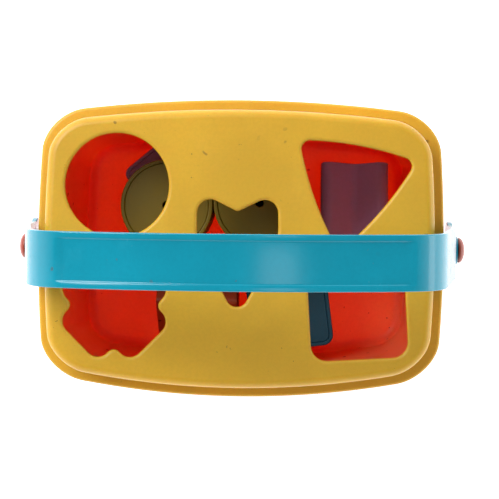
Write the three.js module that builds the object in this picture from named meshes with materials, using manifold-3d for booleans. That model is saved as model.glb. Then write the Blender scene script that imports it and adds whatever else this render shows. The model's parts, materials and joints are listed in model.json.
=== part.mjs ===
// Shape sorter: a bucket with a shape-cut lid, a swinging carry handle and hollow blocks.
// Millimetres, +Z up. The origin is the centre of the bucket's foot, on the ground.
// X runs along the long side of the lid, which is also the handle's swing axis.

import * as THREE from 'three';
import { mergeVertices } from 'three/addons/utils/BufferGeometryUtils.js';
import Module from 'manifold-3d';

const wasm = await Module();
wasm.setup();

// ---- driving dimensions ----

const GAP = 0.3;                 // air left between touching pieces
const DEGREE = Math.PI / 180;

// Plan outline of the lid's rim: a rounded rectangle whose four sides swell outward.
const RIM_HALF_X = 94.4;
const RIM_HALF_Y = 69;
const RIM_CORNER = 19;
const END_SWELL = 0.03;          // share of the width lost at the corners of the short ends
const BACK_SWELL = 0.1;          // share of the depth lost at the corners, +Y side
const FRONT_SWELL = 0.15;        // the same on the more bowed -Y side
const CORNER_STEPS = 5;
const SIDE_STEPS = 8;
const END_STEPS = 4;

// Lid
const DECK_TOP = 124;
const DECK_THICK = 2.5;
const DECK_INSET = 5.7;          // the raised deck stands back from the rim by this much
const SHOULDER = 4;              // rounded edge of the deck
const FLANGE_TOP = 100;
const FLANGE_THICK = 2.7;
const LIP_BOTTOM = 94;
const LIP_THICK = 2.2;

// Bucket
const BUCKET_TOP = FLANGE_TOP - FLANGE_THICK - GAP;
const BEAD_INSET = LIP_THICK + 0.7;
const BEAD_HEIGHT = 4.5;
const WALL = 2;
const WALL_TOP_INSET = 4.5;
const WALL_FOOT_INSET = 11.5;
const FLOOR = 3;
const FLOOR_FILLET = 5;

// Handle, pivots and pins
const PIVOT_Z = 78;
const BAND_WIDTH = 24.2;
const BAND_THICK = 2.6;
const EAR_OUTER_X = 99.6;
const EAR_RADIUS = 13.5;
const KNEE_Z = 106;              // the arms stand straight up to here, then lean inward
const SHOULDER_X = 92.2;
const SHOULDER_Z = 158;
const CROWN_X = 72;
const CROWN_Z = 184;
const HANDLE_TOP = 194;
const BEND_PULL = 14;            // length of the bend's tangents
const RECESS_DEPTH = 0.8;
const RECESS_WIDTH = 18.4;
const RECESS_HALF_LENGTH = 76;
const HANDLE_LEAN = 2.6;         // degrees, toward -Y
const HUB_RADIUS = 6.5;
const HUB_RISE = 2.6;
const PIVOT_BOSS_RADIUS = 8;
const PIVOT_BOSS_FOOT_X = 87.6;
const PIVOT_BOSS_TIP_X = EAR_OUTER_X - BAND_THICK - 0.4;
const PIN_RADIUS = 2.7;
const PIN_HOLE_RADIUS = 3.1;
const PIN_END_X = 90.6;
const PIN_HEAD_RADIUS = 6;
const PIN_HEAD_HEIGHT = 3.1;
const PIN_HEAD_X = EAR_OUTER_X + HUB_RISE + 0.4;

// Blocks: each is its hole's outline drawn in by the clearance
const BLOCK_CLEARANCE = 1.9;
const BLOCK_HEIGHT = 40;
const BLOCK_WALL = 1.8;
const CAP_THICK = 1.8;
const CAP_RECESS = 0.6;
const VENT_RADIUS = 2;
const BED = FLOOR + 0.4;         // height at which a block lies on the floor
const STACK = BED + BLOCK_HEIGHT + 0.4;

// Shapes of the five holes
const CIRCLE_RADIUS = 23.65;
const SQUARE_SIDE = 43.9;
const SQUARE_CORNER = 7.2;
const TRIANGLE_SIDE = 54;
const TRIANGLE_CORNER = 4;
const TRIANGLE_BOW = 3.5;         // how far the middle of a side is drawn out before rounding
const TRIANGLE_BOW_RADIUS = 150;
const CROSS_REACH = 23.5;
const CROSS_ARM_HALF = 13.2;
const CROSS_CORNER = 6;
const CROSS_NOTCH = 3.5;
const HEART = {
  notch: [0, 18.9, 3],
  lobe: [18.2, 27.9, 6],
  flank: [18.6, 5, 28],
  tip: [0, -30, 5],
};

const YELLOW = plastic(0xe8b83a, 0.5);
const TEAL = plastic(0x14a5bf, 0.3);
const PIN_RED = plastic(0xd2503a, 0.35);
const BUCKET_RED = plastic(0xe0301c, 0.3);
const GREEN = plastic(0x6f7a1e, 0.4);
const PURPLE = plastic(0x8a3a5e, 0.4);
const BLUE = plastic(0x2f6f8f, 0.4);
const ORANGE_RED = plastic(0xd83a20, 0.4);

// ---- helpers ----

function plastic(color, roughness) {
  return new THREE.MeshStandardMaterial({ color, roughness, metalness: 0 });
}

function solidOf(geometry) {
  const bare = geometry.clone();
  bare.deleteAttribute('normal');
  bare.deleteAttribute('uv');
  const merged = mergeVertices(bare);
  return new wasm.Manifold(new wasm.Mesh({
    numProp: 3,
    vertProperties: new Float32Array(merged.attributes.position.array),
    triVerts: new Uint32Array(merged.index.array),
  }));
}

function geometryOf(solid) {
  const mesh = solid.getMesh();
  const geometry = new THREE.BufferGeometry();
  geometry.setAttribute('position', new THREE.BufferAttribute(mesh.vertProperties, 3));
  geometry.setIndex(new THREE.BufferAttribute(mesh.triVerts, 1));
  geometry.computeVertexNormals();
  return geometry;
}

function named(name, geometry, material) {
  const mesh = new THREE.Mesh(geometry, material);
  mesh.name = name;
  return mesh;
}

function prism(shape, depth, z = 0, curveSegments = 4) {
  const geometry = new THREE.ExtrudeGeometry(shape, { depth, bevelEnabled: false, curveSegments });
  return geometry.translate(0, 0, z);
}

// A cylinder along X between two X positions.
function barAlongX(radius, fromX, toX, y, z, sides = 24) {
  const low = Math.min(fromX, toX);
  const length = Math.abs(toX - fromX);
  const geometry = new THREE.CylinderGeometry(radius, radius, length, sides);
  return geometry.rotateZ(Math.PI / 2).translate(low + length / 2, y, z);
}

// ---- outlines ----

// Swollen rounded rectangle, anticlockwise.
function barrelOutline(halfX, halfY, corner) {
  const quadrants = [[1, 1], [-1, 1], [-1, -1], [1, -1]];
  const corners = quadrants.map(([sideX, sideY], quarter) => {
    const arc = [];
    for (let step = 0; step <= CORNER_STEPS; step++) {
      const angle = (quarter + step / CORNER_STEPS) * Math.PI / 2;
      const x = sideX * (halfX - corner) + corner * Math.cos(angle);
      const y = sideY * (halfY - corner) + corner * Math.sin(angle);
      arc.push(new THREE.Vector2(x, y));
    }
    return arc;
  });
  const points = [];
  corners.forEach((arc, quarter) => {
    points.push(...arc);
    const from = arc[CORNER_STEPS];
    const to = corners[(quarter + 1) % 4][0];
    const steps = quarter % 2 === 0 ? SIDE_STEPS : END_STEPS;
    for (let step = 1; step < steps; step++) {
      points.push(from.clone().lerp(to, step / steps));
    }
  });
  return points.map((point) => {
    const sideSwell = point.y > 0 ? BACK_SWELL : FRONT_SWELL;
    const x = point.x * (1 - END_SWELL * (point.y / halfY) ** 2);
    const y = point.y * (1 - sideSwell * (point.x / halfX) ** 2);
    return new THREE.Vector2(x, y);
  });
}

// A closed shell whose section is a list of [inset from the rim, z, corner radius].
// The section starts on a face that looks down and ends on a face that looks up.
function barrelShell(section) {
  const rings = section.map(([inset, z, corner]) => {
    const outline = barrelOutline(RIM_HALF_X - inset, RIM_HALF_Y - inset, corner);
    return outline.map((point) => new THREE.Vector3(point.x, point.y, z));
  });
  const count = rings[0].length;
  const first = new THREE.Vector3(0, 0, section[0][1]);
  const last = new THREE.Vector3(0, 0, section[section.length - 1][1]);
  const points = [...rings.flat(), first, last];
  const firstIndex = points.length - 2;
  const lastIndex = points.length - 1;
  const faces = [];
  for (let i = 0; i < count; i++) {
    const next = (i + 1) % count;
    faces.push(firstIndex, next, i);
    for (let ring = 0; ring < rings.length - 1; ring++) {
      const low = ring * count;
      const high = low + count;
      faces.push(low + i, low + next, high + next);
      faces.push(low + i, high + next, high + i);
    }
    const top = (rings.length - 1) * count;
    faces.push(lastIndex, top + i, top + next);
  }
  const geometry = new THREE.BufferGeometry();
  geometry.setFromPoints(points);
  geometry.setIndex(faces);
  geometry.computeVertexNormals();
  return geometry;
}

// A polygon of [x, y, corner radius], anticlockwise, drawn inward by inset.
function roundedOutline(corners, inset = 0) {
  const count = corners.length;
  const edges = corners.map(([x, y], i) => {
    const [nextX, nextY] = corners[(i + 1) % count];
    const along = new THREE.Vector2(nextX - x, nextY - y).normalize();
    const start = new THREE.Vector2(x - along.y * inset, y + along.x * inset);
    return { start, along };
  });
  const shape = new THREE.Shape();
  corners.forEach(([, , corner], i) => {
    const before = edges[(i + count - 1) % count];
    const after = edges[i];
    const cross = before.along.cross(after.along);
    const turn = Math.atan2(cross, before.along.dot(after.along));
    const between = after.start.clone().sub(before.start);
    const distance = between.cross(after.along) / cross;
    const radius = turn > 0 ? Math.max(corner - inset, 0.5) : corner + inset;
    const reach = distance - radius * Math.tan(Math.abs(turn) / 2);
    const start = before.start.clone().addScaledVector(before.along, reach);
    const side = Math.sign(turn) * radius;
    const centreX = start.x - before.along.y * side;
    const centreY = start.y + before.along.x * side;
    const from = Math.atan2(start.y - centreY, start.x - centreX);
    shape.absarc(centreX, centreY, radius, from, from + turn, turn < 0);
  });
  shape.closePath();
  return shape;
}

function circleOutline(inset) {
  const shape = new THREE.Shape();
  shape.absarc(0, 0, CIRCLE_RADIUS - inset, 0, 2 * Math.PI, false);
  return shape;
}

function squareOutline(inset) {
  const half = SQUARE_SIDE / 2;
  const corners = [[half, half], [-half, half], [-half, -half], [half, -half]];
  return roundedOutline(corners.map(([x, y]) => [x, y, SQUARE_CORNER]), inset);
}

function triangleOutline(inset) {
  const tip = TRIANGLE_SIDE / Math.sqrt(3);
  const corners = [];
  for (let side = 0; side < 3; side++) {
    const cornerAngle = (side * 120) * DEGREE;
    const middleAngle = (side * 120 + 60) * DEGREE;
    const middle = tip / 2 + TRIANGLE_BOW;
    corners.push([tip * Math.cos(cornerAngle), tip * Math.sin(cornerAngle), TRIANGLE_CORNER]);
    corners.push([middle * Math.cos(middleAngle), middle * Math.sin(middleAngle), TRIANGLE_BOW_RADIUS]);
  }
  return roundedOutline(corners, inset);
}

function crossOutline(inset) {
  const reach = CROSS_REACH;
  const half = CROSS_ARM_HALF;
  const corners = [];
  for (let arm = 0; arm < 4; arm++) {
    const cos = Math.round(Math.cos(arm * Math.PI / 2));
    const sin = Math.round(Math.sin(arm * Math.PI / 2));
    const tipCorners = [[reach, -half, CROSS_CORNER], [reach, half, CROSS_CORNER]];
    for (const [x, y, corner] of [...tipCorners, [half, half, CROSS_NOTCH]]) {
      corners.push([x * cos - y * sin, x * sin + y * cos, corner]);
    }
  }
  return roundedOutline(corners, inset);
}

function heartOutline(inset) {
  const mirrored = ([x, y, corner]) => [-x, y, corner];
  const { notch, lobe, flank, tip } = HEART;
  return roundedOutline([tip, flank, lobe, notch, mirrored(lobe), mirrored(flank)], inset);
}

// ---- bucket ----

function bucketShell() {
  const slope = (WALL_FOOT_INSET - WALL_TOP_INSET) / BUCKET_TOP;
  const outerInset = (z) => WALL_FOOT_INSET - slope * z;
  const innerInset = (z) => outerInset(z) + WALL;
  const underBead = BUCKET_TOP - BEAD_HEIGHT;
  const filletTop = FLOOR + FLOOR_FILLET;
  const section = [
    [WALL_FOOT_INSET + 3.5, 0, 12],
    [WALL_FOOT_INSET + 1, 0.5, 14],
    [outerInset(3), 3, 15],
    [outerInset(underBead), underBead, 18],
    [BEAD_INSET, underBead + 0.6, 19],
    [BEAD_INSET, BUCKET_TOP - 0.8, 19],
    [BEAD_INSET + 0.7, BUCKET_TOP, 18.5],
    [innerInset(BUCKET_TOP) - 0.7, BUCKET_TOP, 16],
    [innerInset(BUCKET_TOP), BUCKET_TOP - 0.8, 16],
    [innerInset(filletTop), filletTop, 12],
  ];
  for (const angle of [30, 60, 90]) {
    const inward = FLOOR_FILLET * (1 - Math.cos(angle * DEGREE));
    const z = filletTop - FLOOR_FILLET * Math.sin(angle * DEGREE);
    section.push([innerInset(filletTop) + inward, z, 12 - inward]);
  }
  return barrelShell(section);
}

function bucket() {
  let solid = solidOf(bucketShell());
  for (const side of [-1, 1]) {
    const bossFoot = side * PIVOT_BOSS_FOOT_X;
    const bossTip = side * PIVOT_BOSS_TIP_X;
    const boss = barAlongX(PIVOT_BOSS_RADIUS, bossFoot, bossTip, 0, PIVOT_Z, 32);
    const boreFoot = side * (PIN_END_X - GAP);
    const boreMouth = side * (PIVOT_BOSS_TIP_X + 1);
    const bore = barAlongX(PIN_HOLE_RADIUS, boreFoot, boreMouth, 0, PIVOT_Z);
    solid = solid.add(solidOf(boss)).subtract(solidOf(bore));
  }
  return named('bucket', geometryOf(solid), BUCKET_RED);
}

// ---- lid ----

const HOLES = [
  { outline: circleOutline, x: -55.7, y: 28.4, turn: 0, curve: 20 },
  { outline: triangleOutline, x: 50.7, y: 29.7, turn: 20, curve: 4 },
  { outline: squareOutline, x: 54, y: -27.6, turn: 3.6, curve: 4 },
  { outline: crossOutline, x: -56.5, y: -26.2, turn: 45, curve: 4 },
  { outline: heartOutline, x: -0.8, y: -2, turn: 0, curve: 4 },
];

function lidShell() {
  const inner = DECK_INSET + DECK_THICK;
  const section = [
    [inner + 2.5, DECK_TOP - DECK_THICK, 12],
    [inner + 0.7, DECK_TOP - DECK_THICK - 0.7, 14],
    [inner, DECK_TOP - DECK_THICK - 2.5, 15],
    [inner, FLANGE_TOP - FLANGE_THICK, 15],
    [LIP_THICK, FLANGE_TOP - FLANGE_THICK, 18],
    [LIP_THICK, LIP_BOTTOM, 18],
    [0.4, LIP_BOTTOM, 19],
    [0, LIP_BOTTOM + 0.6, 19],
    [0, FLANGE_TOP - 1.6, 19],
    [0.5, FLANGE_TOP - 0.5, 19],
    [1.6, FLANGE_TOP, 18.5],
    [DECK_INSET - 0.3, FLANGE_TOP, 17],
    [DECK_INSET, DECK_TOP - SHOULDER, 17],
  ];
  for (const angle of [22.5, 45, 67.5, 90]) {
    const inward = SHOULDER * (1 - Math.cos(angle * DEGREE));
    const z = DECK_TOP - SHOULDER + SHOULDER * Math.sin(angle * DEGREE);
    section.push([DECK_INSET + inward, z, 17 - inward]);
  }
  return barrelShell(section);
}

function lid() {
  let solid = solidOf(lidShell());
  for (const hole of HOLES) {
    const cutter = prism(hole.outline(0), 4 * DECK_THICK, DECK_TOP - 2 * DECK_THICK, hole.curve);
    cutter.rotateZ(hole.turn * DEGREE).translate(hole.x, hole.y, 0);
    solid = solid.subtract(solidOf(cutter));
  }
  return named('lid', geometryOf(solid), YELLOW);
}

// ---- handle ----

// Outer face of the bail seen along Y, from the right pivot over the top to the left one.
function bailPath() {
  const armLean = Math.atan2(EAR_OUTER_X - SHOULDER_X, SHOULDER_Z - KNEE_Z);
  const rise = HANDLE_TOP - CROWN_Z;
  const crownRadius = (CROWN_X ** 2 + rise ** 2) / (2 * rise);
  const crownAngle = Math.asin(CROWN_X / crownRadius);
  const shoulder = new THREE.Vector2(SHOULDER_X, SHOULDER_Z);
  const crownEnd = new THREE.Vector2(CROWN_X, CROWN_Z);
  const upTheArm = new THREE.Vector2(-Math.sin(armLean), Math.cos(armLean));
  const downTheCrown = new THREE.Vector2(Math.cos(crownAngle), -Math.sin(crownAngle));
  const bend = new THREE.CubicBezierCurve(
    shoulder,
    shoulder.clone().addScaledVector(upTheArm, BEND_PULL),
    crownEnd.clone().addScaledVector(downTheCrown, BEND_PULL),
    crownEnd,
  );
  const half = [
    new THREE.Vector2(EAR_OUTER_X, PIVOT_Z),
    new THREE.Vector2(EAR_OUTER_X, KNEE_Z),
    ...bend.getPoints(8),
  ];
  const crownSteps = 6;
  for (let step = 1; step <= crownSteps; step++) {
    const angle = crownAngle * (1 - step / crownSteps);
    const x = crownRadius * Math.sin(angle);
    half.push(new THREE.Vector2(x, HANDLE_TOP - crownRadius * (1 - Math.cos(angle))));
  }
  const mirrored = half.slice(0, -1).reverse();
  return [...half, ...mirrored.map((point) => new THREE.Vector2(-point.x, point.y))];
}

// Moves a path to its left by the given distance.
function shifted(path, distance) {
  return path.map((point, i) => {
    const before = path[Math.max(i - 1, 0)];
    const after = path[Math.min(i + 1, path.length - 1)];
    const into = point.clone().sub(before).normalize();
    const out = after.clone().sub(point).normalize();
    const along = into.clone().add(out).normalize();
    const stretch = 1 / Math.max(along.dot(i ? into : out), 0.5);
    const reach = distance * stretch;
    return new THREE.Vector2(point.x - along.y * reach, point.y + along.x * reach);
  });
}

// A strip of the bail between two depths under its outer face, centred on Y = 0.
function bailStrip(path, fromDepth, toDepth, width) {
  const shape = new THREE.Shape([...shifted(path, fromDepth), ...shifted(path, toDepth).reverse()]);
  const geometry = new THREE.ExtrudeGeometry(shape, { depth: width, bevelEnabled: false });
  return geometry.rotateX(Math.PI / 2).translate(0, width / 2, 0);
}

function handle() {
  const path = bailPath();
  const crown = path.filter((point) => Math.abs(point.x) <= RECESS_HALF_LENGTH && point.y > SHOULDER_Z);
  let solid = solidOf(bailStrip(path, 0, BAND_THICK, BAND_WIDTH));
  solid = solid.subtract(solidOf(bailStrip(crown, -1, RECESS_DEPTH, RECESS_WIDTH)));
  for (const side of [-1, 1]) {
    const earInner = side * (EAR_OUTER_X - BAND_THICK);
    const hubOuter = side * (EAR_OUTER_X + HUB_RISE);
    const ear = barAlongX(EAR_RADIUS, earInner, side * EAR_OUTER_X, 0, PIVOT_Z, 40);
    const hub = barAlongX(HUB_RADIUS, side * (EAR_OUTER_X - 1), hubOuter, 0, PIVOT_Z, 32);
    const bore = barAlongX(PIN_HOLE_RADIUS, side * (EAR_OUTER_X - 6), side * (EAR_OUTER_X + 6), 0, PIVOT_Z);
    solid = solid.add(solidOf(ear)).add(solidOf(hub)).subtract(solidOf(bore));
  }
  const geometry = geometryOf(solid).translate(0, 0, -PIVOT_Z);
  const mesh = named('handle', geometry, TEAL);
  mesh.position.z = PIVOT_Z;
  mesh.rotation.x = HANDLE_LEAN * DEGREE;
  return mesh;
}

// Domed head outside the handle's ear, shank through the ear into the bucket's boss.
function pivotPin(name, side) {
  const shank = PIN_HEAD_X - PIN_END_X;
  const profile = [
    new THREE.Vector2(0, -shank),
    new THREE.Vector2(PIN_RADIUS - 0.5, -shank),
    new THREE.Vector2(PIN_RADIUS, -shank + 0.5),
    new THREE.Vector2(PIN_RADIUS, 0),
    new THREE.Vector2(PIN_HEAD_RADIUS, 0),
  ];
  for (const angle of [0, 30, 60, 90]) {
    const radius = PIN_HEAD_RADIUS * Math.cos(angle * DEGREE);
    const height = 0.4 + (PIN_HEAD_HEIGHT - 0.4) * Math.sin(angle * DEGREE);
    profile.push(new THREE.Vector2(angle === 90 ? 0 : radius, height));
  }
  const geometry = new THREE.LatheGeometry(profile, 24).rotateZ(-side * Math.PI / 2);
  const mesh = named(name, geometry, PIN_RED);
  mesh.position.set(side * PIN_HEAD_X, 0, PIVOT_Z);
  return mesh;
}

// ---- blocks ----

// A hollow block standing on its closed end, with a vented cap let into its open end.
// Its own origin is the middle of its height.
function block(name, outline, material, curve = 3) {
  const bottom = -BLOCK_HEIGHT / 2;
  const innerInset = BLOCK_CLEARANCE + BLOCK_WALL;
  const outer = prism(outline(BLOCK_CLEARANCE), BLOCK_HEIGHT, bottom, curve);
  const hollow = prism(outline(innerInset), BLOCK_HEIGHT, bottom + BLOCK_WALL, curve);
  const shell = solidOf(outer).subtract(solidOf(hollow));
  const capZ = BLOCK_HEIGHT / 2 - CAP_RECESS - CAP_THICK;
  const plate = prism(outline(innerInset + GAP), CAP_THICK, capZ, curve);
  const ventShape = new THREE.Shape().absarc(0, 0, VENT_RADIUS, 0, 2 * Math.PI, false);
  const vent = prism(ventShape, 3 * CAP_THICK, capZ - CAP_THICK, 6);
  const cap = solidOf(plate).subtract(solidOf(vent));
  const group = new THREE.Group();
  group.add(named(`${name}_shell`, geometryOf(shell), material));
  group.add(named(`${name}_cap`, geometryOf(cap), material));
  return group;
}

// rotation is [about X, about Y, about Z] in degrees, centre is the block's middle.
function placed(group, centre, rotation = [0, 0, 0]) {
  group.position.set(...centre);
  group.rotation.set(...rotation.map((angle) => angle * DEGREE), 'ZYX');
  return group;
}

const FLOOR_MIDDLE = BED + BLOCK_HEIGHT / 2;
const STACK_MIDDLE = STACK + BLOCK_HEIGHT / 2;

function blocks() {
  return [
    placed(block('circle_block_a', circleOutline, GREEN, 20), [-35.6, 19.9, STACK_MIDDLE]),
    placed(block('circle_block_b', circleOutline, GREEN, 20), [8.4, 21.5, STACK_MIDDLE]),
    placed(block('cross_block', crossOutline, PURPLE), [-37.7, 27, FLOOR_MIDDLE], [0, 0, 40]),
    placed(block('heart_block_a', heartOutline, PURPLE), [54.3, 19.4, 29.2], [81, 0, 0]),
    placed(block('heart_block_b', heartOutline, PURPLE), [14, 19.5, FLOOR_MIDDLE]),
    placed(block('square_block', squareOutline, BLUE), [22.8, -29.9, FLOOR_MIDDLE], [0, 0, 7.4]),
    placed(block('triangle_block', triangleOutline, ORANGE_RED), [-22.8, -26.5, 19.5], [0, -90, 0]),
  ];
}

// ---- assembly ----

const shapeSorter = new THREE.Group();
shapeSorter.add(bucket());
shapeSorter.add(lid());
shapeSorter.add(handle());
shapeSorter.add(pivotPin('pivot_pin_left', -1));
shapeSorter.add(pivotPin('pivot_pin_right', 1));
shapeSorter.add(...blocks());

export default shapeSorter;
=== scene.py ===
import json
import math

import bpy
from mathutils import Matrix, Vector


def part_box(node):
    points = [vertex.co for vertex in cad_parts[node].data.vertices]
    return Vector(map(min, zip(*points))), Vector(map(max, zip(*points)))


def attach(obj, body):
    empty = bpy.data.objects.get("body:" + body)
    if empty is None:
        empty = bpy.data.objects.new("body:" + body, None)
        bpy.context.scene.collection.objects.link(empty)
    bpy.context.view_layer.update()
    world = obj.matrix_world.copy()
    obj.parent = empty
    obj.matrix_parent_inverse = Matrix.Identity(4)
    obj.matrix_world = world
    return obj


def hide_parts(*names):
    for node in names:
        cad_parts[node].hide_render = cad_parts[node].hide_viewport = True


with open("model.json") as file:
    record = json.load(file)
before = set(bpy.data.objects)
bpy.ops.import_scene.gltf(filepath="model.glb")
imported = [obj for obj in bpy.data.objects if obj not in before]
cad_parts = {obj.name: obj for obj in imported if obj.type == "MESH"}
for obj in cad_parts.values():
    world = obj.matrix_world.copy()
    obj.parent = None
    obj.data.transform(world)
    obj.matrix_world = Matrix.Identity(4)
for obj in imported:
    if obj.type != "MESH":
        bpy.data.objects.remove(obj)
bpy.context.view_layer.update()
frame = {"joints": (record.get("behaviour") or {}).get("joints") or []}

# ---- driving dimensions, in millimetres unless a name says otherwise ----

MM = 0.001
LID_LOW, LID_HIGH = (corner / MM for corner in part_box("lid"))
RIM_HALF_X = LID_HIGH.x
RIM_HALF_Y = LID_HIGH.y
DECK_TOP = LID_HIGH.z
LIP_BOTTOM = LID_LOW.z
BUCKET_TOP = (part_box("bucket")[1] / MM).z

# Plan outline: a rounded rectangle whose sides swell outward
RIM_CORNER = 19
END_SWELL = 0.03         # share of the width lost at the corners of the short ends
BACK_SWELL = 0.1         # share of the depth lost at the corners, +Y side
FRONT_SWELL = 0.15       # the same on the more bowed -Y side
CORNER_STEPS = 14
SIDE_STEPS = 30
END_STEPS = 16

# Lid
DECK_THICK = 2.5
DECK_INSET = 5.7         # the raised deck stands back from the rim by this much
DECK_CORNER = 17
DECK_INNER_CORNER = 15
DECK_INNER_ROUND = 2.5
SHOULDER = 4             # rounded edge of the deck
FLANGE_TOP = 100
FLANGE_THICK = 2.7
FLANGE_ROUND = 1.5
LIP_THICK = 2.2
GROOVE_DEPTH = 0.7
GROOVE_WIDTH = 1.1
HOLE_ROUND = 1.5
HOLE_ROUND_UNDER = 0.4
CUT_PAST = 2             # how far a cutter reaches past what it cuts

# Bucket
BEAD_INSET = 2.9
BEAD_HEIGHT = 4.5
BUCKET_RIM_ROUND = 0.8
WALL = 2
WALL_TOP_INSET = 4.5
WALL_FOOT_INSET = 11.5
WALL_TOP_CORNER = 18
WALL_FOOT_CORNER = 15
CAVITY_TOP_CORNER = 16
CAVITY_FOOT_CORNER = 12
FLOOR = 3
FLOOR_FILLET = 5
FOOT_RING = 6            # width of the ring the bucket stands on
FOOT_RISE = 1.2          # how far the underside is above the ring's foot
FOOT_ROUND = 2.5

# Handle, pivots and pins
PIVOT = Vector(next(j["pos_m"] for j in frame["joints"] if j["name"] == "handle_swing")) / MM
BAND_HALF = 12.1
BAND_THICK = 2.6
BAND_EDGE = 0.6
EAR_OUTER_X = 99.6
EAR_RADIUS = 13.5
KNEE_Z = 106             # the arms stand straight up to here, then lean inward
KNEE_REACH = (2, 6)      # how far below the knee its bend begins, and how far past it the bend ends
SHOULDER_X = 92.2
SHOULDER_Z = 158
CROWN_X = 72
CROWN_Z = 184
HANDLE_TOP = 194
BEND_PULL = 14           # length of the bend's tangents
RECESS_DEPTH = 0.8
RECESS_SLOPE = 0.5       # half the width of the slope into the recess
RECESS_RUN_OUT = 2.5     # length over which the recess fades in at its ends
RECESS_HALF_LENGTH = 76
LIP_WIDTH = 2.9
HANDLE_LEAN = math.radians(2.6)
HUB_RADIUS = 6.5
HUB_RISE = 2.6
BOSS_RADIUS = 8
BOSS_FOOT_X = 87.6
PIVOT_GAP = 0.4          # air between boss and ear, and between hub and pin head
BOSS_TIP_X = EAR_OUTER_X - BAND_THICK - PIVOT_GAP
BORE_RADIUS = 3.1
PIN_RADIUS = 2.7
PIN_CHAMFER = 0.6
PIN_SIDES = 48
PIN_END_X = 90.6
PIN_HEAD_RADIUS = 6
PIN_HEAD_HEIGHT = 3.1
PIN_HEAD_EDGE = 0.3
PIN_HEAD_X = EAR_OUTER_X + HUB_RISE + PIVOT_GAP
PIN_CROWN_RADIUS = 0.35  # small flat at the middle of the head

# Blocks and holes
BLOCK_CLEARANCE = 1.9
BLOCK_HEIGHT = 40
BLOCK_WALL = 1.8
BLOCK_ROUND = 0.7
BLOCK_MOUTH_ROUND = 0.45
BLOCK_MOUTH_INNER_ROUND = 0.35
BLOCK_INNER_CHAMFER = 0.5
CAP_THICK = 1.8
CAP_GAP = 0.05
CAP_CHAMFER = 0.3
VENT_RADIUS = 2
VENT_CHAMFER = 0.25
CIRCLE_RADIUS = 23.65
SQUARE_SIDE = 43.9
SQUARE_CORNER = 7.2
TRIANGLE_SIDE = 54
TRIANGLE_CORNER = 4
TRIANGLE_BOW = 3.5       # how far the middle of a side is drawn out before rounding
TRIANGLE_BOW_RADIUS = 150
CROSS_REACH = 23.5
CROSS_ARM_HALF = 13.2
CROSS_CORNER = 6
CROSS_NOTCH = 3.5
# The heart's corners, as x, y and corner radius. The lobe and the flank are mirrored to the left.
HEART_NOTCH = (0, 18.9, 3)
HEART_LOBE = (18.2, 27.9, 6)
HEART_FLANK = (18.6, 5, 28)
HEART_TIP = (0, -30, 5)


# ---- mesh helpers ----

SHARP_DEGREES = 40       # an edge that turns by more than this is shaded as a corner


def finish_mesh(name, mesh):
    mesh.validate()
    mesh.shade_smooth()
    mesh.set_sharp_from_angle(angle=math.radians(SHARP_DEGREES))
    piece = bpy.data.objects.new(name, mesh)
    bpy.context.scene.collection.objects.link(piece)
    return piece


def loft(name, rings, looped=False):
    """A closed skin through rings of equally many points, with flat ends unless the rings loop round."""
    count = len(rings[0])
    points = [Vector(point) * MM for ring in rings for point in ring]
    pairs = [(ring, ring + 1) for ring in range(len(rings) - 1)]
    if looped:
        pairs.append((len(rings) - 1, 0))
    faces = []
    for low, high in pairs:
        for i in range(count):
            j = (i + 1) % count
            faces.append((low * count + i, low * count + j, high * count + j, high * count + i))
    if not looped:
        top = (len(rings) - 1) * count
        faces.append(tuple(reversed(range(count))))
        faces.append(tuple(range(top, top + count)))
    mesh = bpy.data.meshes.new(name)
    mesh.from_pydata(points, [], faces)
    return finish_mesh(name, mesh)


def boolean(piece, other, operation):
    """Cuts other out of piece, or joins it on, and removes other."""
    modifier = piece.modifiers.new("boolean", "BOOLEAN")
    modifier.operation = operation
    modifier.solver = "EXACT"
    modifier.object = other
    bpy.context.view_layer.update()
    graph = bpy.context.evaluated_depsgraph_get()
    result = bpy.data.meshes.new_from_object(piece.evaluated_get(graph))
    piece.modifiers.clear()
    piece.data = result
    bpy.data.objects.remove(other)


def soften(piece):
    """Lets the large flat faces set the shading of the narrow rounded ones beside them."""
    modifier = piece.modifiers.new("weighted_normals", "WEIGHTED_NORMAL")
    modifier.keep_sharp = True


def quarter_turn(radius, steps):
    """Pairs (across, along) of a quarter round: from (0, 0) tangent to along, to (radius, radius)."""
    angles = [step * math.pi / 2 / steps for step in range(steps + 1)]
    return [(radius * (1 - math.cos(a)), radius * math.sin(a)) for a in angles]


def bar_along_x(name, radius, from_x, to_x, centre, steps=48):
    angles = [2 * math.pi * step / steps for step in range(steps)]
    circle = [(centre.y + radius * math.cos(a), centre.z + radius * math.sin(a)) for a in angles]
    return loft(name, [[(x, y, z) for y, z in circle] for x in sorted((from_x, to_x))])


# ---- outlines, anticlockwise ----

def barrel_outline(inset, corner):
    half_x = RIM_HALF_X - inset
    half_y = RIM_HALF_Y - inset
    arcs = []
    for quarter, (side_x, side_y) in enumerate([(1, 1), (-1, 1), (-1, -1), (1, -1)]):
        arc = []
        for step in range(CORNER_STEPS + 1):
            angle = (quarter + step / CORNER_STEPS) * math.pi / 2
            x = side_x * (half_x - corner) + corner * math.cos(angle)
            y = side_y * (half_y - corner) + corner * math.sin(angle)
            arc.append(Vector((x, y)))
        arcs.append(arc)
    points = []
    for quarter, arc in enumerate(arcs):
        points += arc
        onward = arcs[(quarter + 1) % 4][0]
        steps = END_STEPS if quarter % 2 else SIDE_STEPS
        points += [arc[-1].lerp(onward, step / steps) for step in range(1, steps)]
    outline = []
    for point in points:
        side_swell = BACK_SWELL if point.y > 0 else FRONT_SWELL
        x = point.x * (1 - END_SWELL * (point.y / half_y) ** 2)
        y = point.y * (1 - side_swell * (point.x / half_x) ** 2)
        outline.append((x, y))
    return outline


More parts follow.
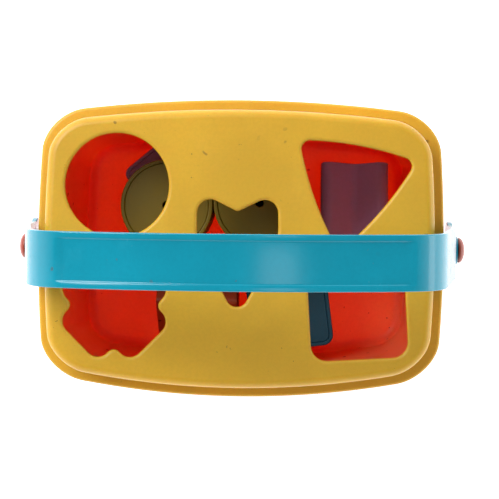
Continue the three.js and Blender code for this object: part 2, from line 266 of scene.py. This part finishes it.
def barrel_shell(name, section):
    """Lofts a section of (inset from the rim, z, corner radius), closed flat at its first and last ring."""
    rings = []
    for inset, z, corner in section:
        rings.append([(x, y, z) for x, y in barrel_outline(inset, corner)])
    return loft(name, rings)


def rounded_outline(corners, inset, steps=10):
    """A polygon of (x, y, corner radius), drawn inward by inset."""
    count = len(corners)
    edges = []
    for i, (x, y, _) in enumerate(corners):
        onward = corners[(i + 1) % count]
        along = (Vector(onward[:2]) - Vector((x, y))).normalized()
        edges.append((Vector((x - along.y * inset, y + along.x * inset)), along))
    outline = []
    for i, (_, _, corner) in enumerate(corners):
        before_start, before = edges[i - 1]
        after_start, after = edges[i]
        cross = before.cross(after)
        turn = math.atan2(cross, before.dot(after))
        distance = (after_start - before_start).cross(after) / cross
        radius = max(corner - inset, 0.5) if turn > 0 else corner + inset
        start = before_start + before * (distance - radius * math.tan(abs(turn) / 2))
        side = math.copysign(radius, turn)
        centre = start + Vector((-before.y, before.x)) * side
        spoke = start - centre
        for step in range(steps + 1):
            angle = turn * step / steps
            x = spoke.x * math.cos(angle) - spoke.y * math.sin(angle)
            y = spoke.x * math.sin(angle) + spoke.y * math.cos(angle)
            outline.append((centre.x + x, centre.y + y))
    return outline


def circle_outline(inset, steps=96):
    radius = CIRCLE_RADIUS - inset
    angles = [2 * math.pi * step / steps for step in range(steps)]
    return [(radius * math.cos(a), radius * math.sin(a)) for a in angles]


def square_outline(inset):
    half = SQUARE_SIDE / 2
    corners = [(half, half), (-half, half), (-half, -half), (half, -half)]
    return rounded_outline([(x, y, SQUARE_CORNER) for x, y in corners], inset)


def triangle_outline(inset):
    tip = TRIANGLE_SIDE / math.sqrt(3)
    middle = tip / 2 + TRIANGLE_BOW
    corners = []
    for side in range(3):
        at_tip = math.radians(120 * side)
        at_middle = at_tip + math.radians(60)
        corners.append((tip * math.cos(at_tip), tip * math.sin(at_tip), TRIANGLE_CORNER))
        corners.append((middle * math.cos(at_middle), middle * math.sin(at_middle), TRIANGLE_BOW_RADIUS))
    return rounded_outline(corners, inset)


def cross_outline(inset):
    reach, half = CROSS_REACH, CROSS_ARM_HALF
    arm = [(reach, -half, CROSS_CORNER), (reach, half, CROSS_CORNER), (half, half, CROSS_NOTCH)]
    corners = []
    for quarter in range(4):
        cos, sin = round(math.cos(quarter * math.pi / 2)), round(math.sin(quarter * math.pi / 2))
        corners += [(x * cos - y * sin, x * sin + y * cos, corner) for x, y, corner in arm]
    return rounded_outline(corners, inset)


def heart_outline(inset):
    mirrored = [(-x, y, corner) for x, y, corner in (HEART_LOBE, HEART_FLANK)]
    return rounded_outline([HEART_TIP, HEART_FLANK, HEART_LOBE, HEART_NOTCH, *mirrored], inset)


# ---- procedural plastic, in metres ----

UNDERSIDE_SPREAD = 0.05      # how far out from the middle an underside counts as being
FACING_FADE = 0.01
FOOT_FADE_LOW = 0.0018       # the foot ends and the inside begins between these two heights
FOOT_FADE_HIGH = 0.0022
DIRT = (0.035, 0.018, 0.008)
PLASTIC_IOR = 1.49
COAT_ROUGHNESS = 0.1
GLOW_SPREAD = (1, 0.35, 0.15)    # red light travels farthest inside the plastic
MIX_COLOURS = (6, 7)             # the mix node's two colour inputs
MIX_RESULT = 2


class Nodes:
    """Short calls for building one material's node tree."""

    def __init__(self, name):
        self.material = bpy.data.materials.new(name)
        self.material.use_nodes = True
        self.tree = self.material.node_tree
        self.shader = self.tree.nodes["Principled BSDF"]
        textured = self.tree.nodes.new("ShaderNodeTexCoord")
        self.coords = textured.outputs["Object"]
        self.normal = textured.outputs["Normal"]

    def link(self, source, socket):
        self.tree.links.new(source, socket)

    def noise(self, scale, detail=2.0, stretch=None, turn=(0, 0, 0), roughness=0.5):
        node = self.tree.nodes.new("ShaderNodeTexNoise")
        node.inputs["Scale"].default_value = scale
        node.inputs["Detail"].default_value = detail
        node.inputs["Roughness"].default_value = roughness
        source = self.coords
        if stretch:
            mapping = self.tree.nodes.new("ShaderNodeMapping")
            mapping.inputs["Scale"].default_value = stretch
            mapping.inputs["Rotation"].default_value = turn
            self.link(source, mapping.inputs["Vector"])
            source = mapping.outputs["Vector"]
        self.link(source, node.inputs["Vector"])
        return node.outputs["Fac"]

    def ramp(self, source, low, high):
        """0 below low, 1 above high."""
        node = self.tree.nodes.new("ShaderNodeMapRange")
        node.interpolation_type = "SMOOTHSTEP"
        node.inputs["From Min"].default_value = low
        node.inputs["From Max"].default_value = high
        self.link(source, node.inputs["Value"])
        return node.outputs["Result"]

    def math(self, operation, first, second):
        node = self.tree.nodes.new("ShaderNodeMath")
        node.operation = operation
        for socket, value in zip(node.inputs, (first, second)):
            if isinstance(value, (int, float)):
                socket.default_value = value
            else:
                self.link(value, socket)
        return node.outputs["Value"]

    def mix(self, factor, first, second):
        node = self.tree.nodes.new("ShaderNodeMix")
        node.data_type = "RGBA"
        if isinstance(factor, (int, float)):
            node.inputs["Factor"].default_value = factor
        else:
            self.link(factor, node.inputs["Factor"])
        for index, value in zip(MIX_COLOURS, (first, second)):
            if isinstance(value, tuple):
                node.inputs[index].default_value = (*value, 1)
            else:
                self.link(value, node.inputs[index])
        return node.outputs[MIX_RESULT]

    def multiply(self, colour, tint):
        node = self.tree.nodes.new("ShaderNodeVectorMath")
        node.operation = "MULTIPLY"
        node.inputs[1].default_value = tint
        self.link(colour, node.inputs[0])
        return node.outputs["Vector"]

    def bump(self, height, strength, distance, under=None):
        node = self.tree.nodes.new("ShaderNodeBump")
        node.inputs["Strength"].default_value = strength
        node.inputs["Distance"].default_value = distance
        self.link(height, node.inputs["Height"])
        if under:
            self.link(under, node.inputs["Normal"])
        return node.outputs["Normal"]

    def facing_out(self):
        """1 on the outside walls, underside and foot of a hollow piece, 0 on what its inside shows.

        A wall faces out where its normal points away from the middle. Everything below the foot's
        height counts as outside, because the foot ring's own inside wall faces inward.
        """
        spread = self.tree.nodes.new("ShaderNodeVectorMath")
        spread.operation = "MULTIPLY_ADD"
        spread.inputs[1].default_value = (1, 1, 0)
        spread.inputs[2].default_value = (0, 0, -UNDERSIDE_SPREAD)
        self.link(self.coords, spread.inputs[0])
        facing = self.tree.nodes.new("ShaderNodeVectorMath")
        facing.operation = "DOT_PRODUCT"
        self.link(spread.outputs["Vector"], facing.inputs[0])
        self.link(self.normal, facing.inputs[1])
        depth = self.tree.nodes.new("ShaderNodeVectorMath")
        depth.operation = "DOT_PRODUCT"
        depth.inputs[1].default_value = (0, 0, -1)
        self.link(self.coords, depth.inputs[0])
        in_foot = self.ramp(depth.outputs["Value"], -FOOT_FADE_HIGH, -FOOT_FADE_LOW)
        return self.math("MAXIMUM", self.ramp(facing.outputs["Value"], 0, FACING_FADE), in_foot)


def shaded(colour, factor):
    return tuple(min(channel * factor, 1) for channel in colour)


def moulded_plastic(name, colour, roughness, grain, dirt,
                    coat=0.0, glow=0.0, glow_depth=0.004, waves=0.35, outside=None, shine=0.5):
    """Injection-moulded plastic: mottled colour, fine grain, rub marks, hair scratches and specks of dirt.

    grain and waves are the strengths of the fine and the broad unevenness of the surface, dirt is how
    dark the specks are, and glow is how much light the plastic scatters inside, to glow_depth metres.
    outside is what the colour is multiplied by on the outside of a hollow piece, so the inside keeps the
    paler colour as painted light.
    """
    nodes = Nodes(name)
    mottle = nodes.ramp(nodes.noise(16, 4), 0.35, 0.68)
    body = nodes.mix(mottle, shaded(colour, 0.92), shaded(colour, 1.06))
    rubbed = nodes.ramp(nodes.noise(55, 6, roughness=0.7), 0.52, 0.74)
    body = nodes.mix(nodes.math("MULTIPLY", rubbed, 0.12), body, shaded(colour, 1.35))
    peppered = nodes.ramp(nodes.noise(620, 3, roughness=0.7), 0.4, 0.62)
    body = nodes.mix(nodes.math("MULTIPLY", peppered, 0.1), body, shaded(colour, 0.62))
    worn = nodes.ramp(nodes.noise(26, 2), 0.54, 0.7)
    hair = nodes.ramp(nodes.noise(1, 3, (45, 1300, 60), (0.2, 0.1, 0.62)), 0.66, 0.72)
    cross_hair = nodes.ramp(nodes.noise(1, 3, (1500, 60, 50), (0.1, 0.3, -0.35)), 0.67, 0.73)
    scratches = nodes.math("MULTIPLY", nodes.math("MAXIMUM", hair, cross_hair), worn)
    body = nodes.mix(nodes.math("MULTIPLY", scratches, 0.1), body, shaded(colour, 1.4))
    spots = nodes.ramp(nodes.noise(170, 1), 0.735, 0.775)
    crumbs = nodes.ramp(nodes.noise(520, 2), 0.73, 0.78)
    cluster = nodes.ramp(nodes.noise(24, 2), 0.42, 0.62)
    specks = nodes.math("MULTIPLY", nodes.math("MAXIMUM", spots, crumbs), cluster)
    body = nodes.mix(nodes.math("MULTIPLY", specks, dirt), body, DIRT)
    # painted light: the outside of a hollow piece is multiplied darker, and the inside keeps the paler
    # colour in place of light reaching it
    if outside:
        body = nodes.mix(nodes.facing_out(), body, nodes.multiply(body, outside))
    nodes.link(body, nodes.shader.inputs["Base Color"])
    rough = nodes.math("ADD", nodes.math("MULTIPLY", rubbed, 0.14), roughness)
    rough = nodes.math("ADD", rough, nodes.math("MULTIPLY", scratches, 0.18))
    rough = nodes.math("ADD", rough, nodes.math("MULTIPLY", specks, 0.3))
    nodes.link(rough, nodes.shader.inputs["Roughness"])
    flow = nodes.bump(nodes.noise(45, 2), waves, 0.0004)
    fine = nodes.bump(nodes.noise(1500, 3), grain, 0.00006, flow)
    scored = nodes.bump(scratches, 0.25, -0.00005, fine)
    nodes.link(scored, nodes.shader.inputs["Normal"])
    nodes.shader.inputs["Specular IOR Level"].default_value = shine
    nodes.shader.inputs["Coat Weight"].default_value = coat
    nodes.shader.inputs["Coat Roughness"].default_value = COAT_ROUGHNESS
    nodes.shader.inputs["IOR"].default_value = PLASTIC_IOR
    nodes.shader.inputs["Subsurface Weight"].default_value = glow
    nodes.shader.inputs["Subsurface Scale"].default_value = glow_depth
    nodes.shader.inputs["Subsurface Radius"].default_value = GLOW_SPREAD
    return nodes.material


YELLOW = moulded_plastic("lid_yellow", (0.74, 0.42, 0.024), 0.4, 0.6, 0.75, glow=0.3, glow_depth=0.003)
TEAL = moulded_plastic("handle_teal", (0.0, 0.31, 0.44), 0.16, 0.06, 0.5, coat=0.12, waves=0.05)
# Painted light: the bucket's inside is painted paler than its outside, so that it reads as bright red
# in the little light that the holes let in.
BUCKET_RED = moulded_plastic("bucket_red", (0.84, 0.28, 0.12), 0.36, 0.3, 0.9, glow=0.75, glow_depth=0.01,
                             outside=(0.55, 0.05, 0.08), shine=0.25)
PIN_RED = moulded_plastic("pin_red", (0.38, 0.05, 0.02), 0.34, 0.2, 0.5, coat=0.2)
GREEN = moulded_plastic("block_green", (0.25, 0.165, 0.0), 0.45, 0.35, 0.6)
PURPLE = moulded_plastic("block_purple", (0.95, 0.45, 0.9), 0.4, 0.35, 0.5)
BLUE = moulded_plastic("block_blue", (0.01, 0.09, 0.15), 0.4, 0.35, 0.5)
BLOCK_RED = moulded_plastic("block_red", (0.75, 0.13, 0.05), 0.38, 0.35, 0.6)


def dress(piece, material, slot, body, *nodes):
    """Finishes a piece: its material, the body it rides on and the CAD nodes it stands for."""
    piece.data.materials.clear()
    piece.data.materials.append(material)
    soften(piece)
    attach(piece, body)
    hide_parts(*nodes)
    return piece


# ---- bucket ----

def make_bucket():
    slope = (WALL_FOOT_INSET - WALL_TOP_INSET) / BUCKET_TOP
    fillet_top = FLOOR + FLOOR_FILLET
    under_bead = BUCKET_TOP - BEAD_HEIGHT

    def outer(z):
        return WALL_FOOT_INSET - slope * z

    def inner(z):
        return outer(z) + WALL

    section = [
        (outer(0) + FOOT_RING + 1.5, FOOT_RISE, 7),
        (outer(0) + FOOT_RING, FOOT_RISE * 0.8, 8),
        (outer(0) + FOOT_RING - 0.6, 0.2, 8.5),
        (outer(0) + FOOT_RING - 1, 0, 9),
    ]
    for across, along in reversed(quarter_turn(FOOT_ROUND, 6)):
        section.append((outer(FOOT_ROUND) + across, FOOT_ROUND - along, WALL_FOOT_CORNER - across))
    opening_up = WALL_TOP_CORNER - WALL_FOOT_CORNER
    for z in (10, 30, 60, under_bead - 1):
        section.append((outer(z), z, WALL_FOOT_CORNER + opening_up * z / under_bead))
    section += [
        (outer(under_bead) - 0.3, under_bead - 0.3, WALL_TOP_CORNER),
        (BEAD_INSET + 0.4, under_bead, 18.8),
        (BEAD_INSET, under_bead + 0.5, RIM_CORNER),
    ]
    rim_foot = BUCKET_TOP - BUCKET_RIM_ROUND
    for across, along in quarter_turn(BUCKET_RIM_ROUND, 4):
        section.append((BEAD_INSET + across, rim_foot + along, RIM_CORNER - across))
    for across, along in reversed(quarter_turn(BUCKET_RIM_ROUND, 4)):
        section.append((inner(BUCKET_TOP) - across, rim_foot + along, CAVITY_TOP_CORNER + across))
    opening_up = CAVITY_TOP_CORNER - CAVITY_FOOT_CORNER
    for z in (70, 40, 15):
        section.append((inner(z), z, CAVITY_FOOT_CORNER + opening_up * z / BUCKET_TOP))
    for across, along in quarter_turn(FLOOR_FILLET, 8):
        section.append((inner(fillet_top) + across, fillet_top - along, CAVITY_FOOT_CORNER - across))
    piece = barrel_shell("bucket_shell", section)
    for side in (-1, 1):
        boss = bar_along_x("boss", BOSS_RADIUS, side * BOSS_FOOT_X, side * BOSS_TIP_X, PIVOT)
        boolean(piece, boss, "UNION")
        bore_ends = side * (PIN_END_X - 0.3), side * (BOSS_TIP_X + CUT_PAST)
        bore = bar_along_x("bore", BORE_RADIUS, *bore_ends, PIVOT)
        boolean(piece, bore, "DIFFERENCE")
    return dress(piece, BUCKET_RED, "bucket_plastic", "root", "bucket")


# ---- lid ----

# Each hole's outline, the x and y of its middle, and the degrees it is turned by
HOLES = [
    (circle_outline, -55.7, 28.4, 0),
    (triangle_outline, 50.7, 29.7, 20),
    (square_outline, 54, -27.6, 3.6),
    (cross_outline, -56.5, -26.2, 45),
    (heart_outline, -0.8, -2, 0),
]


def hole_cutter(outline, x, y, turn):
    """A prism that flares at both faces of the deck, so the hole's edges come out rounded."""
    under = DECK_TOP - DECK_THICK
    levels = [(-HOLE_ROUND_UNDER, under - CUT_PAST)]
    levels += [(across - HOLE_ROUND_UNDER, under + along)
               for along, across in quarter_turn(HOLE_ROUND_UNDER, 3)]
    levels += [(-across, DECK_TOP - HOLE_ROUND + along) for across, along in quarter_turn(HOLE_ROUND, 6)]
    levels.append((-HOLE_ROUND, DECK_TOP + CUT_PAST))
    spin = Matrix.Rotation(math.radians(turn), 3, "Z")
    rings = []
    for inset, z in levels:
        rings.append([spin @ Vector((px, py, z)) + Vector((x, y, 0)) for px, py in outline(inset)])
    return loft("hole", rings)


def make_lid():
    inner = DECK_INSET + DECK_THICK
    under = DECK_TOP - DECK_THICK
    flange_under = FLANGE_TOP - FLANGE_THICK
    section = []
    for across, along in reversed(quarter_turn(DECK_INNER_ROUND, 5)):
        section.append((inner + across, under - DECK_INNER_ROUND + along, DECK_INNER_CORNER - across))
    section += [
        (inner, 112, DECK_INNER_CORNER),
        (inner, flange_under + 0.5, DECK_INNER_CORNER),
        (inner - 0.5, flange_under, 15.3),
        (LIP_THICK + 1, flange_under, 17.6),
        (LIP_THICK, flange_under - 1, 18),
        (LIP_THICK, LIP_BOTTOM + 0.5, 18),
        (LIP_THICK - 0.4, LIP_BOTTOM, 18.4),
        (0.7, LIP_BOTTOM, 18.8),
        (0, LIP_BOTTOM + 0.7, RIM_CORNER),
    ]
    for across, along in quarter_turn(FLANGE_ROUND, 6):
        section.append((across, FLANGE_TOP - FLANGE_ROUND + along, RIM_CORNER - across * 0.5))
    groove = DECK_INSET - 0.3 - GROOVE_WIDTH
    section += [
        (groove, FLANGE_TOP, 17.2),
        (groove + 0.2, FLANGE_TOP - GROOVE_DEPTH, 17.1),
        (groove + GROOVE_WIDTH - 0.1, FLANGE_TOP - GROOVE_DEPTH, DECK_CORNER),
        (groove + GROOVE_WIDTH, FLANGE_TOP + 0.2, DECK_CORNER),
        (DECK_INSET - 0.15, 110, DECK_CORNER),
    ]
    for across, along in quarter_turn(SHOULDER, 10):
        section.append((DECK_INSET + across, DECK_TOP - SHOULDER + along, DECK_CORNER - across))
    piece = barrel_shell("lid_cover", section)
    for outline, x, y, turn in HOLES:
        boolean(piece, hole_cutter(outline, x, y, turn), "DIFFERENCE")
    return dress(piece, YELLOW, "lid_plastic", "lid", "lid")


# ---- handle ----

def bezier(start, pull_start, pull_end, end, steps):
    points = []
    for step in range(1, steps):
        t = step / steps
        u = 1 - t
        points.append(u ** 3 * start + 3 * u * u * t * pull_start + 3 * u * t * t * pull_end + t ** 3 * end)
    return points


def bail_path():
    """Outer face seen along Y, as points (x, z), from the right ear's foot over the top to the middle."""
    foot = Vector((EAR_OUTER_X, PIVOT.z - EAR_RADIUS + 0.02))
    ear = [Vector((EAR_OUTER_X, PIVOT.z - EAR_RADIUS * math.cos(math.pi / 2 * step / 14)))
           for step in range(1, 15)]
    straight = [Vector((EAR_OUTER_X, z)) for z in (80, 82, 83.5, 84.5, 86, 88, 91, 94)]
    shoulder, crown = Vector((SHOULDER_X, SHOULDER_Z)), Vector((CROWN_X, CROWN_Z))
    knee = Vector((EAR_OUTER_X, KNEE_Z))
    lean = (shoulder - knee).normalized()
    rise = HANDLE_TOP - CROWN_Z
    crown_radius = (CROWN_X ** 2 + rise ** 2) / (2 * rise)
    crown_angle = math.asin(CROWN_X / crown_radius)
    onto_crown = Vector((math.cos(crown_angle), -math.sin(crown_angle)))
    below, above = KNEE_REACH
    knee_low = Vector((EAR_OUTER_X, KNEE_Z - below))
    knee_high = knee + lean * above
    half = [foot, *ear, *straight, knee_low]
    half += bezier(knee_low, knee, knee, knee_high, 6)
    half += [knee_high.lerp(shoulder, step / 8) for step in range(9)]
    half += bezier(shoulder, shoulder + lean * BEND_PULL, crown + onto_crown * BEND_PULL, crown, 20)
    for step in range(41):
        angle = crown_angle * (1 - step / 40)
        x = crown_radius * math.sin(angle)
        half.append(Vector((x, HANDLE_TOP - crown_radius * (1 - math.cos(angle)))))
    return half


def bail_half_width(z):
    """Half the band's width at height z: the ear is round, and the band above it is even."""
    if z < PIVOT.z:
        return math.sqrt(max(EAR_RADIUS ** 2 - (PIVOT.z - z) ** 2, 0.3))
    circle = math.sqrt(max(EAR_RADIUS ** 2 - (z - PIVOT.z) ** 2, 0))
    return max(BAND_HALF, circle)


def band_section(half, recess):
    """(across, depth under the outer face), clockwise from the inner left corner, with raised lips."""
    lip = half - LIP_WIDTH * half / BAND_HALF
    points = []
    for side in (-1, 1):
        under = []
        for step in range(5):
            angle = math.pi / 2 * step / 4
            across = half - BAND_EDGE + BAND_EDGE * math.cos(angle)
            under.append((side * across, BAND_THICK - BAND_EDGE + BAND_EDGE * math.sin(angle)))
        over = [(across, BAND_THICK - depth) for across, depth in under]
        lips = [
            (side * (lip + RECESS_SLOPE), 0),
            (side * lip, recess * 0.5),
            (side * (lip - RECESS_SLOPE), recess),
        ]
        points.append((under, over, lips))
    (left_under, left_over, left_lips), (right_under, right_over, right_lips) = points
    outline = [*reversed(left_under), *left_over, *left_lips, (0, recess)]
    outline += [*reversed(right_lips), *reversed(right_over), *right_under, (0, BAND_THICK)]
    return outline


def make_handle():
    half = bail_path()
    path = half + [Vector((-point.x, point.y)) for point in reversed(half[:-1])]
    lean = Matrix.Rotation(HANDLE_LEAN, 3, "X")
    rings = []
    for i, point in enumerate(path):
        before, after = path[max(i - 1, 0)], path[min(i + 1, len(path) - 1)]
        along = (after - before).normalized()
        inward = Vector((-along.y, along.x))
        fade = min(max((RECESS_HALF_LENGTH - abs(point.x)) / RECESS_RUN_OUT, 0), 1)
        recess = RECESS_DEPTH * fade * fade * (3 - 2 * fade) if point.y > SHOULDER_Z else 0
        ring = []
        for across, depth in band_section(bail_half_width(point.y), recess):
            spot = point + inward * depth
            ring.append(lean @ (Vector((spot.x, across, spot.y)) - PIVOT) + PIVOT)
        rings.append(ring)
    piece = loft("carry_handle", rings)
    for side in (-1, 1):
        hub_ends = side * (EAR_OUTER_X - 1), side * (EAR_OUTER_X + HUB_RISE)
        hub = bar_along_x("hub", HUB_RADIUS, *hub_ends, PIVOT)
        boolean(piece, hub, "UNION")
        bore_ends = side * (EAR_OUTER_X - 6), side * (EAR_OUTER_X + 6)
        bore = bar_along_x("bore", BORE_RADIUS, *bore_ends, PIVOT)
        boolean(piece, bore, "DIFFERENCE")
    return dress(piece, TEAL, "handle_plastic", "handle", "handle")


# ---- pivot pins ----

def make_pin(name, side):
    """Domed head on a shank that reaches into the bucket's boss. side is -1 on the left, 1 on the right."""
    profile = [
        (PIN_RADIUS - PIN_CHAMFER, PIN_END_X),
        (PIN_RADIUS, PIN_END_X + PIN_CHAMFER),
        (PIN_RADIUS, PIN_HEAD_X - 0.01),
        (PIN_HEAD_RADIUS - PIN_HEAD_EDGE, PIN_HEAD_X),
        (PIN_HEAD_RADIUS, PIN_HEAD_X + PIN_HEAD_EDGE),
    ]
    for step in range(1, 12):
        angle = math.pi / 2 * step / 12
        height = PIN_HEAD_EDGE + (PIN_HEAD_HEIGHT - PIN_HEAD_EDGE) * math.sin(angle)
        profile.append((PIN_HEAD_RADIUS * math.cos(angle), PIN_HEAD_X + height))
    profile.append((PIN_CROWN_RADIUS, PIN_HEAD_X + PIN_HEAD_HEIGHT))
    rings = []
    for radius, x in profile:
        ring = []
        for step in range(PIN_SIDES):
            angle = 2 * math.pi * step / PIN_SIDES
            y = PIVOT.y + side * radius * math.cos(angle)
            z = PIVOT.z + radius * math.sin(angle)
            ring.append((side * x, y, z))
        rings.append(ring)
    piece = loft(name + "_cap", rings)
    return dress(piece, PIN_RED, "pin_plastic", "root", name)


# ---- blocks ----

def settle(piece, node, rotation):
    """Turns a piece and moves it so that its box has the same middle as its CAD node's."""
    turns = [Matrix.Rotation(math.radians(angle), 4, axis) for angle, axis in zip(rotation, "XYZ")]
    piece.data.transform(turns[2] @ turns[1] @ turns[0])
    low = Vector([min(v.co[axis] for v in piece.data.vertices) for axis in range(3)])
    high = Vector([max(v.co[axis] for v in piece.data.vertices) for axis in range(3)])
    cad_low, cad_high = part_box(node)
    piece.data.transform(Matrix.Translation((cad_low + cad_high) / 2 - (low + high) / 2))


def block_shell(name, outline):
    """A hollow prism, closed below, with every edge rounded."""
    bottom, top = -BLOCK_HEIGHT / 2, BLOCK_HEIGHT / 2
    inner = BLOCK_CLEARANCE + BLOCK_WALL
    levels = []
    for across, along in reversed(quarter_turn(BLOCK_ROUND, 4)):
        levels.append((BLOCK_CLEARANCE + across, bottom + BLOCK_ROUND - along))
    for across, along in quarter_turn(BLOCK_MOUTH_ROUND, 3):
        levels.append((BLOCK_CLEARANCE + across, top - BLOCK_MOUTH_ROUND + along))
    for across, along in reversed(quarter_turn(BLOCK_MOUTH_INNER_ROUND, 3)):
        levels.append((inner - across, top - BLOCK_MOUTH_INNER_ROUND + along))
    levels.append((inner, bottom + BLOCK_WALL + BLOCK_INNER_CHAMFER))
    levels.append((inner + BLOCK_INNER_CHAMFER, bottom + BLOCK_WALL))
    rings = [[(x, y, z) for x, y in outline(inset)] for inset, z in levels]
    return loft(name, rings)


def block_cap(name, outline):
    """The plate let into a block's open end, with its vent hole."""
    edge = BLOCK_CLEARANCE + BLOCK_WALL + CAP_GAP
    low, high = -CAP_THICK / 2, CAP_THICK / 2
    rim = [
        (edge + CAP_CHAMFER, low),
        (edge, low + CAP_CHAMFER),
        (edge, high - CAP_CHAMFER),
        (edge + CAP_CHAMFER, high),
    ]
    vent = [(VENT_RADIUS + VENT_CHAMFER, high), (VENT_RADIUS, high - VENT_CHAMFER), (VENT_RADIUS, low)]
    rings = [[(x, y, z) for x, y in outline(inset)] for inset, z in rim]
    for radius, z in vent:
        ring = []
        for x, y, _ in rings[0]:
            angle = math.atan2(y, x)
            ring.append((radius * math.cos(angle), radius * math.sin(angle), z))
        rings.append(ring)
    return loft(name, rings, looped=True)


# Each block's name, outline, plastic, slot, and the degrees it is turned by about X, Y and Z
BLOCKS = [
    ("circle_block_a", circle_outline, GREEN, "green_plastic", (0, 0, 0)),
    ("circle_block_b", circle_outline, GREEN, "green_plastic", (0, 0, 0)),
    ("cross_block", cross_outline, PURPLE, "purple_plastic", (0, 0, 40)),
    ("heart_block_a", heart_outline, PURPLE, "purple_plastic", (81, 0, 0)),
    ("heart_block_b", heart_outline, PURPLE, "purple_plastic", (0, 0, 0)),
    ("square_block", square_outline, BLUE, "blue_plastic", (0, 0, 7.4)),
    ("triangle_block", triangle_outline, BLOCK_RED, "red_plastic", (0, -90, 0)),
]


def make_blocks():
    for name, outline, material, slot, rotation in BLOCKS:
        for part, build in (("shell", block_shell), ("cap", block_cap)):
            node = f"{name}_{part}"
            piece = build(f"{node}_moulding", outline)
            settle(piece, node, rotation)
            dress(piece, material, slot, name, node)


# ---- stage, light and camera ----

FRAME_PIXELS = 499       # the picture is this wide and this high
FOCAL_PIXELS = 1989
SENSOR = 36
CAMERA = Vector((25.3, 8.6, 1024)) * MM
AIM = Vector((4.8, -0.2, 124)) * MM
ROLL = math.radians(0.6)
VIEW_END = 20            # metres
HORIZON_LIGHT = 1.6
OVERHEAD_LIGHT = 0.22
HORIZON_TOP = 0.05       # the room is as bright as its horizon up to this height
OVERHEAD_FOOT = 0.75     # and as dim as overhead from this height, both as sines of the angle up
FLOOR_GLOW = 1.0
FLOOR_REACH = 3          # metres


def make_stage():
    mesh = bpy.data.meshes.new("floor")
    signs = [(-1, -1), (1, -1), (1, 1), (-1, 1)]
    corners = [(x * FLOOR_REACH, y * FLOOR_REACH, 0) for x, y in signs]
    mesh.from_pydata(corners, [], [(0, 1, 2, 3)])
    floor = bpy.data.objects.new("floor", mesh)
    bpy.context.scene.collection.objects.link(floor)
    nodes = Nodes("floor_paint")
    tone = nodes.mix(nodes.noise(3, 2), (0.9, 0.9, 0.9), (0.94, 0.94, 0.94))
    nodes.link(tone, nodes.shader.inputs["Base Color"])
    nodes.shader.inputs["Roughness"].default_value = 0.8
    nodes.shader.inputs["Emission Color"].default_value = (1, 1, 1, 1)
    nodes.shader.inputs["Emission Strength"].default_value = FLOOR_GLOW
    mesh.materials.append(nodes.material)


def area_light(name, place, size, energy, target=(0, 0, 0.1)):
    """A rectangular lamp aimed at target. Metres and watts."""
    light = bpy.data.lights.new(name, "AREA")
    light.shape = "RECTANGLE"
    light.size, light.size_y = size
    light.energy = energy
    lamp = bpy.data.objects.new(name, light)
    lamp.location = place
    lamp.rotation_euler = (Vector(target) - Vector(place)).to_track_quat("-Z", "Y").to_euler()
    bpy.context.scene.collection.objects.link(lamp)


def make_world():
    """A white room, brighter toward the horizon than overhead."""
    world = bpy.data.worlds.new("studio")
    world.use_nodes = True
    tree = world.node_tree
    coords = tree.nodes.new("ShaderNodeTexCoord")
    split = tree.nodes.new("ShaderNodeSeparateXYZ")
    tree.links.new(coords.outputs["Generated"], split.inputs["Vector"])
    fall = tree.nodes.new("ShaderNodeMapRange")
    fall.interpolation_type = "SMOOTHSTEP"
    fall.inputs["From Min"].default_value = HORIZON_TOP
    fall.inputs["From Max"].default_value = OVERHEAD_FOOT
    fall.inputs["To Min"].default_value = HORIZON_LIGHT
    fall.inputs["To Max"].default_value = OVERHEAD_LIGHT
    tree.links.new(split.outputs["Z"], fall.inputs["Value"])
    background = tree.nodes["Background"]
    background.inputs["Color"].default_value = (1, 1, 1, 1)
    tree.links.new(fall.outputs["Result"], background.inputs["Strength"])
    bpy.context.scene.world = world


def make_lights():
    make_world()
    area_light("key", (-0.75, 0.65, 1.15), (0.8, 0.8), 16)
    area_light("window", (1.2, 0, 0.12), (0.8, 0.5), 2.5)
    area_light("softbox", (0.165, -0.06, 1.25), (0.17, 0.24), 0.22, target=(0.165, -0.06, 0))


def make_camera():
    data = bpy.data.cameras.new("camera")
    data.sensor_width = SENSOR
    data.lens = SENSOR * FOCAL_PIXELS / FRAME_PIXELS
    data.clip_end = VIEW_END
    camera = bpy.data.objects.new("camera", data)
    back = (CAMERA - AIM).normalized()
    right = Vector((0, 1, 0)).cross(back).normalized()
    up = back.cross(right)
    turn = Matrix((right, up, back)).transposed() @ Matrix.Rotation(ROLL, 3, "Z")
    camera.matrix_world = Matrix.Translation(CAMERA) @ turn.to_4x4()
    bpy.context.scene.collection.objects.link(camera)
    bpy.context.scene.camera = camera


make_bucket()
make_lid()
make_handle()
make_pin("pivot_pin_left", -1)
make_pin("pivot_pin_right", 1)
make_blocks()
make_stage()
make_lights()
make_camera()
bpy.context.scene.view_settings.view_transform = "Standard"
